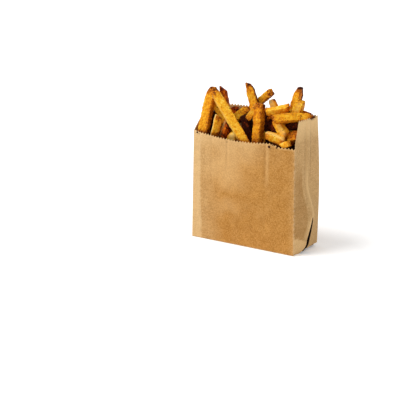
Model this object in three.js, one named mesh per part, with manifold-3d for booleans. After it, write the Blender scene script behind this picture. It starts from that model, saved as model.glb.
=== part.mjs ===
// French fries standing in a small kraft paper bag with a low front lip.
// Millimetres, +Z up, the front panel faces -Y, and the origin is under the middle of the bag.
import * as THREE from 'three';
import { mergeVertices } from 'three/addons/utils/BufferGeometryUtils.js';
import Module from 'manifold-3d';

const wasm = await Module();
wasm.setup();

// ---- the bag ----
const bag = {
  width: 108,
  depth: 40,
  height: 117.5,
  topWidthScale: 0.975,
  topDepthScale: 0.92,
  wall: 0.8,
  floor: 1,
  panelBulge: 5, // how far the front and back panels belly out
  fullBulgeHeight: 53, // the belly is full from here up
  bellyFlatness: 0.8, // below 1 the belly is flatter in the middle
  panelSteps: 10,
  rowHeights: [0, 3, 8, 16, 23, 30, 38, 50, 66, 84, 102, 122],
};

// The side panels have a middle crease. Low down the crease is still folded in, as a slit between two flaps.
const gusset = {
  creaseTop: { out: 1, y: -2.5 },
  creaseLow: { out: 6, y: 2 },
  straightFrom: 64, // above this height the crease runs straight up
  apexHeight: 30, // below this height it is folded in
  foldDepth: 15,
  foldShape: 0.8, // below 1 the slit deepens quickly under the apex
  pullIn: 0.5, // the share of the crease's bulge that is lost on the floor
  creaseGap: 0.9, // half the spacing of the two crease edges where they meet
  flapLean: { reach: 10.8, curve: 1.36, most: 0.64 }, // how the front flap's edge leans forward
  backLean: { reach: 5.8, curve: 1.9 }, // and the back flap's edge after it
  footTuck: 5.5, // how far more the front flap's foot tucks in, below footHeight
  footHeight: 7.5,
  footCurve: 1.3,
  slitShare: 0.4, // of the crease gap, half the slit's width at its closed end
  slitMiddle: { high: 0.5, foot: 0.7 }, // where that end lies between the flaps
  halfway: { out: 0.55, across: 0.5 }, // a point between each corner and the crease
};

// The front lip dips, and all edges are cut with small teeth.
const rim = {
  toothPitch: 3.1,
  toothDepth: 1.5,
  lip: [
    [-56, 100.2], [-50, 98.5], [-39, 97.3], [-27, 96.2], [-5, 95.2], [10, 95.6],
    [24, 96.7], [30, 97], [33.5, 96.2], [38, 94.4], [56, 94],
  ],
  halfSpan: 56, // the toothed lines run past both corners
  sideFrontY: -18, // where each side panel's free front edge starts, above the lip
  sideFrontHeight: 99.5,
  cornerRise: 1.5, // of the cut in front of that edge
  rightTopFrontY: -13.5, // and where it ends, at the top
  leftTopFrontY: 3,
  sideTopBackY: 18,
};

// ---- the fries ----
const heap = {
  clearance: 0.45, // from the paper
  hollow: { x: 0, floor: 88, rise: 18, backLift: 14 }, // the fill's upper limit dips in the middle
  coreSink: 6, // the core's top lies this far under it
  coreSteps: 12,
  coreReach: 64, // past the bag on both sides, before the core is cut to its room
  fillColumns: 14,
  fillRows: 4,
  fillSpread: { x: 98, y: 32, jitter: 3 },
  fillSeed: 20,
  fillHeading: [-28, 28], // degrees from the bag's long side
  fillClimb: [-5, 62],
  fillBow: [-1.5, 1.5],
  fillPoint: [0.45, 0.9],
  fillLength: [34, 58],
  fillThickness: [6.2, 7.8],
  fillSink: [2, 9], // of their middles, under the upper limit
  settleRounds: 90,
  leastDistance: 0.01, // between two lines, so that they can be pushed apart
  parallel: 1e-6, // below this spread two lines run side by side
  spacing: 0.44, // of the sum of two thicknesses, where their lines pass
  slide: [-0.56, 0.79, -0.26], // the named fries give way only along this line
};

// Each fry on show, by its tip and foot, thickness, bow sideways, girth of the tip, turn about its own line,
// and how slanted its tip is cut.
function shownFry(tip, foot, thick, bow, point, turn, slant) {
  return { tip, foot, thick, bow, point, turn, slant };
}

const fries = {
  leftPost: shownFry([-41, -5, 137], [-49, -14, 91], 9.6, -0.7, 0.56, -38, 0),
  longLean: shownFry([-35.4, -12, 133], [12.3, -16, 74], 7.8, 1.2, 0.7, 35, 0),
  leanBehind: shownFry([-39, -5, 133], [-22, -6.5, 114.5], 4.8, 0.4, 0.8, 35, 0),
  darkTall: shownFry([-37, 4, 135], [-32, 4, 101], 6.6, 0.4, 0.9, 78, -0.9),
  leftStub: shownFry([-31, -11, 112], [-37, -14, 83], 7, 0, 0.85, 74, 0.5),
  underLean: shownFry([-46, 2, 122], [-23, -1, 99], 7.2, 0, 0.8, 68, 0),
  redShade: shownFry([-25, -4, 107], [-32, -8, 85], 7.2, 0, 0.85, -58, -0.4),
  paleEnd: shownFry([-16, -10, 99.6], [-17, -13, 84], 8.4, 0, 0.92, -36, 0.35),
  darkEnd: shownFry([-26, 11, 116], [-44, 8, 103], 6.6, 0, 0.8, -71, 0),
  oliveBack: shownFry([-14, 11, 117], [-35, 13, 101], 8, 0, 0.85, -83, 0),
  tallTaper: shownFry([-10, 4, 142], [6, 10, 88], 8.8, 0.3, 0.5, -86, 0.35),
  gapEnd: shownFry([0, 4, 123], [-7, -1, 111], 5.4, 0, 0.9, -80, 0),
  midPost: shownFry([8, -4, 127], [11, -13, 75], 8.3, -0.8, 0.82, 14, 0),
  cutShort: shownFry([9, 12, 135], [-14, 14, 116], 6.3, 0, 0.95, 85, 0),
  darkCurl: shownFry([12, 8, 129], [27, 5, 97], 6.2, 0.4, 0.8, 54, 0),
  topLying: shownFry([33, 3, 125], [13.5, -4, 119.8], 5.6, -0.5, 1.05, 59, 0),
  topUnder: shownFry([33, 5, 119], [12, 2, 115], 6, 0, 0.75, -60, 0),
  rightPost: shownFry([41, 8, 143], [24, 12, 91], 7.8, 0, 0.46, 75, -0.1),
  rightStub: shownFry([43, 5, 131], [29, 11, 96], 8.4, 0, 0.8, 61, -0.2),
  spindle: shownFry([55, 9, 117.3], [25, -10, 115.2], 7.7, -1.3, 0.26, -65, 0),
  spindleBack: shownFry([49.6, 11.5, 118.4], [39, 12.5, 119.6], 5.4, 0, 0.4, 20, 0),
  innerDiag: shownFry([23, -2, 114], [36, -7, 101], 7.3, 0, 0.9, 78, 0),
  frontDiag: shownFry([20, -13, 102], [40, -15, 98], 6.9, 0.4, 0.85, 88, 0),
  palePiece: shownFry([45, -16, 98], [37, -16, 94], 5.4, 0, 0.85, -82, 0),
  cornerLean: shownFry([46, 1, 101], [36, -2, 98], 9.8, 0, 0.85, -46, 0),
  cornerDark: shownFry([41, 7, 110], [30, 6, 106], 6.6, 0, 0.8, -74, 0),
  deepRed: shownFry([13, 3, 111], [28, 0, 94], 6.4, 0, 0.8, 44, 0),
  deepLeft: shownFry([-17, 7, 111], [-4, 2, 85], 6.8, 0, 0.8, 54, 0),
  deepEdge: shownFry([-44, -1, 114], [-48, -7, 86], 6.8, 0, 0.8, -46, 0),
  deepPost: shownFry([6, 10, 116], [11, 7, 80], 6.6, 0, 0.8, 23, 0),
  deepBack: shownFry([-19, 13, 113], [-8, 13, 84], 7.2, 0, 0.8, -30, 0),
};

const cut = {
  top: 140, // above everything that is cut away
  reach: 70, // past the bag on both sides
  wallDepth: 1, // how far the panel cuts go in, just past one wall
  roomTop: 160,
};

const fryShape = {
  stations: [0, 0.08, 0.5, 0.87, 1], // along the fry
  chamfer: 0.3, // of half the thickness
  footGirth: 0.8,
  shoulder: 0.75, // how full the fry still is where its tip begins
};

const paper = { name: 'kraft_paper', color: 0xc99a62, roughness: 0.85, metalness: 0 };
const potato = { name: 'fried_potato', color: 0xd08a26, roughness: 0.6, metalness: 0 };

const { lerp, clamp, smoothstep, degToRad } = THREE.MathUtils;

// ---- solids ----
function toSolid(geometry) {
  const bare = geometry.clone();
  bare.deleteAttribute('normal');
  bare.deleteAttribute('uv');
  const merged = mergeVertices(bare, 1e-5);
  return new wasm.Manifold(new wasm.Mesh({
    numProp: 3,
    vertProperties: new Float32Array(merged.attributes.position.array),
    triVerts: new Uint32Array(merged.index.array),
  }));
}

function toMesh(name, solid, look) {
  const result = solid.getMesh();
  const geometry = new THREE.BufferGeometry();
  geometry.setAttribute('position', new THREE.BufferAttribute(result.vertProperties, 3));
  geometry.setIndex(new THREE.BufferAttribute(result.triVerts, 1));
  geometry.computeVertexNormals();
  const mesh = new THREE.Mesh(geometry, new THREE.MeshStandardMaterial(look));
  mesh.name = name;
  return mesh;
}

function largestBody(solid) {
  const bodies = solid.decompose();
  return bodies.reduce((best, body) => (body.volume() > best.volume() ? body : best));
}

// ---- the bag's outline at a height ----
function halfWidth(z) {
  return (bag.width / 2) * lerp(1, bag.topWidthScale, z / bag.height);
}

function halfDepth(z) {
  return (bag.depth / 2) * lerp(1, bag.topDepthScale, z / bag.height);
}

function panelBulge(across, z) {
  const rise = smoothstep(z, 0, bag.fullBulgeHeight);
  return bag.panelBulge * rise * Math.sin(Math.PI * across) ** bag.bellyFlatness;
}

// The right gusset from its front corner to its back corner, both corners left out.
function gussetPoints(z) {
  const low = 1 - smoothstep(z, gusset.apexHeight, gusset.straightFrom);
  const fold = clamp(1 - z / gusset.apexHeight, 0, 1);
  const foot = clamp(1 - z / gusset.footHeight, 0, 1);
  const creaseY = lerp(gusset.creaseTop.y, gusset.creaseLow.y, low);
  const pull = (1 - foot ** 2) * (1 - gusset.pullIn * fold);
  const out = lerp(gusset.creaseTop.out, gusset.creaseLow.out, low) * pull;
  const tuck = gusset.footTuck * foot ** gusset.footCurve;
  const { flapLean, backLean } = gusset;
  const flapOut = flapLean.reach * Math.min(fold, flapLean.most) ** flapLean.curve;
  const flapY = creaseY - gusset.creaseGap - flapOut - tuck;
  const backY = creaseY + gusset.creaseGap - backLean.reach * fold ** backLean.curve;
  const corner = halfWidth(z);
  const half = halfDepth(z);
  const creaseX = corner + out;
  const innerX = creaseX - gusset.foldDepth * fold ** gusset.foldShape;
  const { slitMiddle, halfway } = gusset;
  const middleY = lerp(flapY, backY, lerp(slitMiddle.high, slitMiddle.foot, foot));
  const slit = gusset.slitShare * gusset.creaseGap;
  const halfwayX = lerp(corner, creaseX, halfway.out);
  return [
    [halfwayX, lerp(-half, flapY, halfway.across)],
    [creaseX, flapY],
    [innerX, middleY - slit],
    [innerX, middleY + slit],
    [creaseX, backY],
    [halfwayX, lerp(half, backY, halfway.across)],
  ].map(([x, y]) => new THREE.Vector2(x, y));
}

function bagOutline(z) {
  const width = halfWidth(z);
  const depth = halfDepth(z);
  const panel = [];
  for (let i = 0; i <= bag.panelSteps; i++) {
    const across = i / bag.panelSteps;
    panel.push(new THREE.Vector2(lerp(-width, width, across), -depth - panelBulge(across, z)));
  }
  const right = gussetPoints(z);
  const back = panel.map((p) => new THREE.Vector2(-p.x, -p.y));
  const left = right.map((p) => new THREE.Vector2(-p.x, p.y)).reverse();
  return [...panel, ...right, ...back, ...left];
}

// Moves an anticlockwise outline inwards by a distance.
function insetOutline(outline, distance) {
  return outline.map((point, i) => {
    const before = outline.at(i - 1);
    const after = outline[(i + 1) % outline.length];
    const inwards = [[before, point], [point, after]].map(([a, b]) => {
      const along = b.clone().sub(a).normalize();
      return new THREE.Vector2(-along.y, along.x);
    });
    const share = Math.max(1 + inwards[0].dot(inwards[1]), 0.5);
    const shift = inwards[0].clone().add(inwards[1]).multiplyScalar(distance / share);
    return point.clone().add(shift);
  });
}

// A closed solid through the bag's outlines, moved inwards by a distance.
function bagLoft(distance, heights) {
  const outlines = heights.map((z) => insetOutline(bagOutline(z), distance));
  const count = outlines[0].length;
  const positions = [];
  const indices = [];
  outlines.forEach((outline, row) => outline.forEach((p) => positions.push(p.x, p.y, heights[row])));
  for (let row = 0; row + 1 < heights.length; row++) {
    for (let i = 0; i < count; i++) {
      const a = row * count + i;
      const b = row * count + ((i + 1) % count);
      indices.push(a, b, b + count, a, b + count, a + count);
    }
  }
  const bottomFaces = THREE.ShapeUtils.triangulateShape(outlines[0], []);
  bottomFaces.forEach(([a, b, c]) => indices.push(a, c, b));
  const top = (heights.length - 1) * count;
  const topFaces = THREE.ShapeUtils.triangulateShape(outlines.at(-1), []);
  topFaces.forEach(([a, b, c]) => indices.push(top + a, top + b, top + c));
  const geometry = new THREE.BufferGeometry();
  geometry.setAttribute('position', new THREE.Float32BufferAttribute(positions, 3));
  geometry.setIndex(indices);
  return toSolid(geometry);
}

// ---- the cuts that leave the toothed rim ----
// Teeth along a line of [distance, height] points, from one end to the other.
function toothLine(line) {
  const teeth = [];
  const start = line[0][0];
  const end = line.at(-1)[0];
  const count = Math.round(Math.abs(end - start) / rim.toothPitch) * 2;
  for (let i = 0; i <= count; i++) {
    const at = lerp(start, end, i / count);
    const next = Math.max(line.findIndex(([x]) => (x - at) * (end - start) >= 0), 1);
    const [x0, z0] = line[next - 1];
    const [x1, z1] = line[next];
    const height = lerp(z0, z1, (at - x0) / (x1 - x0));
    teeth.push(new THREE.Vector2(at, height + (i % 2 ? -0.5 : 0.5) * rim.toothDepth));
  }
  return teeth;
}

// An outline in the XZ plane pushed along Y, from nearY to farY.
function prismAcrossY(outline, nearY, farY) {
  const options = { depth: farY - nearY, bevelEnabled: false };
  const geometry = new THREE.ExtrudeGeometry(new THREE.Shape(outline), options);
  geometry.rotateX(Math.PI / 2);
  geometry.translate(0, farY, 0);
  return toSolid(geometry);
}

// An outline in the YZ plane pushed along X, from nearX.
function prismAcrossX(outline, nearX, width) {
  const options = { depth: width, bevelEnabled: false };
  const geometry = new THREE.ExtrudeGeometry(new THREE.Shape(outline), options);
  geometry.rotateX(Math.PI / 2);
  geometry.rotateZ(Math.PI / 2);
  geometry.translate(nearX, 0, 0);
  return toSolid(geometry);
}

function paperBag() {
  const { top, reach } = cut;
  const wallCutY = halfDepth(bag.height) - cut.wallDepth;
  const point = (x, z) => new THREE.Vector2(x, z);
  const outer = bagLoft(0, bag.rowHeights);
  const hollowHeights = bag.rowHeights.map((z) => (z === 0 ? bag.floor : z));
  const hollow = bagLoft(bag.wall, [...hollowHeights, top]);
  const lipCut = [...toothLine(rim.lip), point(reach, top), point(-reach, top)];
  const backTop = [[-rim.halfSpan, bag.height], [rim.halfSpan, bag.height]];
  const backCut = [...toothLine(backTop), point(reach, top), point(-reach, top)];
  const sideCut = (topFrontY) => [
    point(-reach, rim.sideFrontHeight + rim.cornerRise),
    point(rim.sideFrontY, rim.sideFrontHeight),
    ...toothLine([[topFrontY, bag.height], [rim.sideTopBackY, bag.height]]),
    point(rim.sideTopBackY, top),
    point(-reach, top),
  ];
  return outer
    .subtract(hollow)
    .subtract(prismAcrossY(lipCut, -reach, -wallCutY))
    .subtract(prismAcrossY(backCut, wallCutY, reach))
    .subtract(prismAcrossX(sideCut(rim.leftTopFrontY), -reach, reach))
    .subtract(prismAcrossX(sideCut(rim.rightTopFrontY), 0, reach));
}

// ---- the fries' places ----
// Park and Miller's random numbers, from 0 to 1.
function makeRandom(seed) {
  let state = seed;
  return (low, high) => {
    state = (state * 16807) % 2147483647;
    return lerp(low, high, state / 2147483647);
  };
}

function vector(list) {
  return new THREE.Vector3(...list);
}

// How high the fill may reach at a place.
function fillTop(place) {
  const { x, floor, rise, backLift } = heap.hollow;
  const across = (place.x - x) / (bag.width / 2);
  return floor + rise * across ** 2 + (backLift * place.y) / (bag.depth / 2);
}

function fillFries() {
  const random = makeRandom(heap.fillSeed);
  const list = [];
  const { fillColumns, fillRows, fillSpread } = heap;
  for (let i = 0; i < fillColumns * fillRows; i++) {
    const column = ((i % fillColumns) + 0.5) / fillColumns - 0.5;
    const row = (Math.floor(i / fillColumns) + 0.5) / fillRows - 0.5;
    const x = column * fillSpread.x + random(-fillSpread.jitter, fillSpread.jitter);
    const y = row * fillSpread.y + random(-fillSpread.jitter, fillSpread.jitter);
    const middle = new THREE.Vector3(x, y, 0);
    middle.z = fillTop(middle) - random(...heap.fillSink);
    const heading = degToRad(random(...heap.fillHeading)) + (i % 2 ? Math.PI : 0);
    const climb = degToRad(random(...heap.fillClimb));
    const length = random(...heap.fillLength);
    const line = new THREE.Vector3(
      Math.cos(heading) * Math.cos(climb),
      Math.sin(heading) * Math.cos(climb),
      Math.sin(climb),
    ).multiplyScalar(length / 2);
    list.push({
      length,
      tip: middle.clone().add(line),
      foot: middle.clone().sub(line),
      thick: random(...heap.fillThickness),
      bow: random(...heap.fillBow),
      point: random(...heap.fillPoint),
      turn: random(0, 90),
      slant: 0,
      loose: true,
    });
  }
  return list;
}

// Where the lines foot-tip of two fries come closest, as shares of their lengths.
function closestShares(a, b) {
  const alongA = a.tip.clone().sub(a.foot);
  const alongB = b.tip.clone().sub(b.foot);
  const between = a.foot.clone().sub(b.foot);
  const aa = alongA.dot(alongA);
  const bb = alongB.dot(alongB);
  const ab = alongA.dot(alongB);
  const ac = alongA.dot(between);
  const bc = alongB.dot(between);
  const spread = aa * bb - ab * ab;
  let shareA = spread > heap.parallel ? clamp((ab * bc - ac * bb) / spread, 0, 1) : 0.5;
  const shareB = clamp((ab * shareA + bc) / bb, 0, 1);
  shareA = clamp((ab * shareB - ac) / aa, 0, 1);
  return [shareA, shareB];
}

// Loose fries give way to the named ones, which only slide along their line to clear each other.
function pushFry(fry, other, share, shift) {
  let move = shift.clone();
  if (!fry.loose) {
    const slide = vector(heap.slide);
    const along = other.loose ? 0 : shift.dot(slide);
    move = slide.multiplyScalar(0.5 * along);
  } else if (other.loose) {
    move.multiplyScalar(0.5);
  }
  fry.foot.addScaledVector(move, 1 - share);
  fry.tip.addScaledVector(move, share);
}

// Keeps one end of a fry between the bag's panels.
function keepInside(end, radius) {
  const { z } = end;
  if (z > bag.height) {
    return;
  }
  const width = halfWidth(z) - bag.wall - heap.clearance - radius;
  end.x = clamp(end.x, -width, width);
  const across = 0.5 + end.x / (2 * halfWidth(z));
  const depth = halfDepth(z) + panelBulge(across, z) - bag.wall - heap.clearance - radius;
  end.y = clamp(end.y, -depth, depth);
}

function restoreLength(fry) {
  const middle = fry.foot.clone().lerp(fry.tip, 0.5);
  const half = fry.tip.clone().sub(fry.foot).setLength(fry.length / 2);
  fry.tip.copy(middle).add(half);
  fry.foot.copy(middle).sub(half);
}

function settle(list) {
  for (let round = 0; round < heap.settleRounds; round++) {
    for (let i = 0; i < list.length; i++) {
      for (let j = i + 1; j < list.length; j++) {
        const [a, b] = [list[i], list[j]];
        const [shareA, shareB] = closestShares(a, b);
        const atA = a.foot.clone().lerp(a.tip, shareA);
        const atB = b.foot.clone().lerp(b.tip, shareB);
        const apart = atA.sub(atB);
        const distance = Math.max(apart.length(), heap.leastDistance);
        const girths = a.thick * girthAt(shareA, a.point) + b.thick * girthAt(shareB, b.point);
        const overlap = heap.spacing * girths - distance;
        if (overlap > 0) {
          const shift = apart.multiplyScalar(overlap / distance);
          pushFry(a, b, shareA, shift);
          pushFry(b, a, shareB, shift.clone().negate());
        }
      }
    }
    for (const fry of list) {
      if (fry.loose) {
        restoreLength(fry);
      }
      keepInside(fry.foot, 0.5 * fry.thick);
      if (fry.loose) {
        keepInside(fry.tip, 0.5 * fry.thick * fry.point);
        fry.foot.z = Math.min(fry.foot.z, fillTop(fry.foot));
        fry.tip.z = Math.min(fry.tip.z, fillTop(fry.tip));
      }
    }
  }
}

// ---- one fry ----
// How thick a fry is at a share of its length, against its middle.
function girthAt(share, point) {
  const { stations, footGirth, shoulder } = fryShape;
  const girths = [footGirth, 1, 1, lerp(point, 1, shoulder), point];
  const next = Math.max(stations.findIndex((station) => station >= share), 1);
  const within = (share - stations[next - 1]) / (stations[next] - stations[next - 1]);
  return lerp(girths[next - 1], girths[next], within);
}

function frySolid(fry) {
  const half = 1 / 2;
  const flat = half * (1 - fryShape.chamfer);
  const section = new THREE.Shape([
    [half, -flat], [half, flat], [flat, half], [-flat, half],
    [-half, flat], [-half, -flat], [-flat, -half], [flat, -half],
  ].map(([x, y]) => new THREE.Vector2(x, y)));
  const steps = fryShape.stations.length - 1;
  const geometry = new THREE.ExtrudeGeometry(section, { depth: 1, steps, bevelEnabled: false });
  const along = fry.tip.clone().sub(fry.foot);
  const side = new THREE.Vector3(along.y, -along.x, 0).normalize();
  const upper = side.clone().cross(along).normalize();
  const turn = degToRad(fry.turn);
  const widthLine = side.clone().multiplyScalar(Math.cos(turn)).addScaledVector(upper, Math.sin(turn));
  const heightLine = along.clone().cross(widthLine).normalize();
  const ahead = along.clone().normalize();
  const position = geometry.attributes.position;
  for (let i = 0; i < position.count; i++) {
    const station = Math.round(position.getZ(i) * steps);
    const share = fryShape.stations[station];
    const girth = fry.thick * girthAt(share, fry.point);
    const across = position.getX(i) * girth;
    const place = fry.foot.clone().addScaledVector(along, share);
    place.addScaledVector(ahead, station === steps ? fry.slant * across : 0);
    place.addScaledVector(widthLine, across + fry.bow * Math.sin(Math.PI * share));
    place.addScaledVector(heightLine, position.getY(i) * girth);
    position.setXYZ(i, place.x, place.y, place.z);
  }
  return toSolid(geometry);
}

// The room inside the bag, carried on upwards past its rim.
function roomInBag() {
  const lowest = bag.floor + heap.clearance;
  const rows = bag.rowHeights.filter((z) => z > lowest);
  return bagLoft(bag.wall + heap.clearance, [lowest, ...rows, cut.roomTop]);
}

// What fills the bag under the fries, with a dip in the middle of its top.
function heapCore(room) {
  const reach = heap.coreReach;
  const top = [];
  for (let i = 0; i <= heap.coreSteps; i++) {
    const x = lerp(reach, -reach, i / heap.coreSteps);
    top.push(new THREE.Vector2(x, fillTop({ x, y: 0 }) - heap.coreSink));
  }
  const outline = [new THREE.Vector2(-reach, 0), new THREE.Vector2(reach, 0), ...top];
  return room.intersect(prismAcrossY(outline, -bag.depth, bag.depth));
}

function fryHeap() {
  const shown = Object.values(fries).map((fry) => ({ ...fry, tip: vector(fry.tip), foot: vector(fry.foot) }));
  const all = [...shown, ...fillFries()];
  settle(all);
  const room = roomInBag();
  const core = heapCore(room);
  const together = all.reduce((sum, fry) => sum.add(frySolid(fry)), core);
  return largestBody(together.intersect(room));
}

const object = new THREE.Group();
object.name = 'fries_in_paper_bag';
object.add(toMesh('paper_bag', paperBag(), paper));
object.add(toMesh('fries', fryHeap(), potato));

export default object;
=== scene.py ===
import math
import bpy
import bmesh
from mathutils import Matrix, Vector, noise


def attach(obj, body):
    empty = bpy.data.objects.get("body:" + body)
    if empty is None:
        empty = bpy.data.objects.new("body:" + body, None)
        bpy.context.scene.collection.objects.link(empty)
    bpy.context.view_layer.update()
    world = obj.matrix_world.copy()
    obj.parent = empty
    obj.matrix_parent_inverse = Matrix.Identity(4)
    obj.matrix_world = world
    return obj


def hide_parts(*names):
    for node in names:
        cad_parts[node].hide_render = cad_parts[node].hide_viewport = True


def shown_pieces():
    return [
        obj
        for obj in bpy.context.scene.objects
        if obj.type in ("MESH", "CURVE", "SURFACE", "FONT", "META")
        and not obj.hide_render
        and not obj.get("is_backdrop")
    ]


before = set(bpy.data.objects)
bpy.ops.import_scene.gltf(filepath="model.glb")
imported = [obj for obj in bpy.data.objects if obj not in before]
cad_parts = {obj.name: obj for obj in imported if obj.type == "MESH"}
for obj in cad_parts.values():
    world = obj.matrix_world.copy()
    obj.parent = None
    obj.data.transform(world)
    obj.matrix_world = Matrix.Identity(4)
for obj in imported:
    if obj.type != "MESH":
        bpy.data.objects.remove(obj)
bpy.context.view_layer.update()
print("frame loaded:", len(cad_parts), "nodes")
mm = 0.001  # the sizes of the bag and the fries are in millimetres


def between(low, high, share):
    return low + (high - low) * share


def held(value, low=0.0, high=1.0):
    return min(max(value, low), high)


def eased(value, low, high):
    share = held((value - low) / (high - low))
    return share * share * (3 - 2 * share)


def hump(distance, width):
    return math.exp(-((distance / width) ** 2))


# the same simple random numbers every run
def drawFrom(seed):
    factor, modulus = 16807, 2147483647
    state = [seed]

    def draw(low, high):
        state[0] = state[0] * factor % modulus
        return between(low, high, state[0] / modulus)

    return draw


# shader maths as plain sums
class Wire:
    def __init__(self, finish, socket):
        self.finish = finish
        self.socket = socket

    def maths(self, operation, first, second):
        return self.finish.node("ShaderNodeMath", {"operation": operation}, {0: first, 1: second})

    def __add__(self, other):
        return self.maths("ADD", self, other)

    def __sub__(self, other):
        return self.maths("SUBTRACT", self, other)

    def __rsub__(self, other):
        return self.maths("SUBTRACT", other, self)

    def __mul__(self, other):
        return self.maths("MULTIPLY", self, other)

    __radd__ = __add__
    __rmul__ = __mul__


class Finish:
    def __init__(self, name, fixed):
        self.material = bpy.data.materials.new(name)
        self.material.use_nodes = True
        self.tree = self.material.node_tree
        self.shader = self.tree.nodes["Principled BSDF"]
        for socket, value in fixed.items():
            self.feed(self.shader.inputs[socket], value)

    def feed(self, socket, value):
        if isinstance(value, Wire):
            self.tree.links.new(value.socket, socket)
        else:
            socket.default_value = value

    def node(self, kind, settings=None, inputs=None, output=0):
        made = self.tree.nodes.new(kind)
        for key, value in (settings or {}).items():
            if key == "stops":
                self.setStops(made.color_ramp, value)
            else:
                setattr(made, key, value)
        for key, value in (inputs or {}).items():
            self.feed(made.inputs[key], value)
        return Wire(self, made.outputs[output])

    def setStops(self, ramp, stops):
        while len(ramp.elements) < len(stops):
            ramp.elements.new(0.5)
        for element, (position, colour) in zip(ramp.elements, stops):
            element.position = position
            element.color = (*colour, 1)

    def objectPlace(self):
        return self.node("ShaderNodeTexCoord", output="Object")

    def mark(self, name, output="Fac"):
        return self.node("ShaderNodeAttribute", {"attribute_name": name}, output=output)

    def grain(self, place, scale, detail=3, roughness=0.6):
        inputs = {"Vector": place, "Scale": scale, "Detail": detail, "Roughness": roughness}
        return self.node("ShaderNodeTexNoise", inputs=inputs)

    # grain drawn out into fibres or streaks by its scales
    def drawnOut(self, place, scales, detail):
        stretched = self.node("ShaderNodeMapping", inputs={"Vector": place, "Scale": scales})
        return self.grain(stretched, 1, detail)

    def window(self, value, low, high):
        settings = {"interpolation_type": "SMOOTHSTEP"}
        return self.node("ShaderNodeMapRange", settings, {"Value": value, "From Min": low, "From Max": high})

    def ramp(self, value, stops):
        return self.node("ShaderNodeValToRGB", {"stops": stops}, {"Fac": value})

    def mixed(self, share, first, second, blend="MIX"):
        settings = {"data_type": "RGBA", "blend_type": blend}
        return self.node("ShaderNodeMix", settings, {0: share, 6: first, 7: second}, output=2)

    def bumped(self, height, distance, under=None):
        inputs = {"Height": height, "Distance": distance, "Strength": 1.0}
        if under is not None:
            inputs["Normal"] = under
        return self.node("ShaderNodeBump", inputs=inputs)

    def shade(self, **sockets):
        for name, value in sockets.items():
            self.feed(self.shader.inputs[name.replace("_", " ")], value)
        return self.material


def makePiece(name, bm, material, node=None):
    mesh = bpy.data.meshes.new(name)
    bm.to_mesh(mesh)
    bm.free()
    mesh.materials.append(material)
    piece = bpy.data.objects.new(name, mesh)
    bpy.context.scene.collection.objects.link(piece)
    if node is None:
        piece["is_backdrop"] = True
    else:
        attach(piece, "root")
        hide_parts(node)
    return piece


# ---- camera, light and floor, in metres
studio = {
    "eye": (0.5912, -0.9189, 0.3303), "aim": (-0.1210, 0.0870, 0.0),
    "viewAngle": 18.0, "filmWidth": 36,
    "skyColour": (1, 1, 1, 1),
    "skyLight": 0.6,
    "floorSize": 14.0,
    "floorDrop": 0.0003,
    "floorColour": (0.98, 0.98, 0.98, 1),
    "floorRoughness": 0.9,
    "floorGlow": 0.22,
    "windowSide": (-0.68, -0.7, 1.4),
    "windowLight": 2.15,
    "windowWidth": 34,  # degrees
}


def setCamera(scene):
    camera = bpy.data.objects.new("camera", bpy.data.cameras.new("camera"))
    scene.collection.objects.link(camera)
    camera.data.sensor_width = studio["filmWidth"]
    camera.data.lens = studio["filmWidth"] / 2 / math.tan(math.radians(studio["viewAngle"]) / 2)
    camera.location = studio["eye"]
    gaze = Vector(studio["aim"]) - Vector(studio["eye"])
    camera.rotation_euler = gaze.to_track_quat("-Z", "Y").to_euler()
    scene.camera = camera


def setLights(scene):
    lamp = bpy.data.lights.new("windowLight", "SUN")
    lamp.energy = studio["windowLight"]
    lamp.angle = math.radians(studio["windowWidth"])
    holder = bpy.data.objects.new("windowLight", lamp)
    holder.location = studio["windowSide"]
    holder.rotation_euler = Vector(studio["windowSide"]).to_track_quat("Z", "Y").to_euler()
    scene.collection.objects.link(holder)
    world = bpy.data.worlds.new("softRoom")
    world.use_nodes = True
    room = world.node_tree.nodes["Background"]
    room.inputs["Color"].default_value = studio["skyColour"]
    room.inputs["Strength"].default_value = studio["skyLight"]
    scene.world = world
    scene.view_settings.view_transform = "Standard"
    scene.view_settings.look = "None"


def layFloor():
    bm = bmesh.new()
    bmesh.ops.create_grid(bm, x_segments=2, y_segments=2, size=studio["floorSize"] / 2)
    bmesh.ops.translate(bm, verts=bm.verts, vec=(0, 0, -studio["floorDrop"]))
    colour = studio["floorColour"]
    floor = Finish("paleFloor", {"Base Color": colour, "Roughness": studio["floorRoughness"]})
    floor.shade(Emission_Color=colour, Emission_Strength=studio["floorGlow"])
    makePiece("floor", bm, floor.material)


def setStudio():
    setCamera(bpy.context.scene)
    setLights(bpy.context.scene)
    layFloor()
    print("camera, light and floor set")


# ---- the paper bag
bag = {
    "width": 108, "depth": 40, "height": 117.5,
    "topWidthScale": 0.975, "topDepthScale": 0.92,
    "panelBulge": 5, "fullBulgeHeight": 53, "bellyFlatness": 0.8,
    "paper": 0.35,
    "panelColumns": 144,
    "columnWidth": 0.75,  # on the flat sheet
    "rowSteps": ((4, 0.8), (12, 1.2), (36, 1.7), (100, 2.5)),  # up to a height, the rows lie this far apart
    "seamStart": 43, "seamEnd": 57,  # back panel columns where the sheet starts and ends
    "seamLift": 0.42, "seamRise": (12, 3),  # it starts and is full this far before
    "lipFlare": 0.6, "flareHeight": 9, "flareFade": 5,
    "bottomColumns": 36, "bottomLift": 0.2,
}

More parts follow.
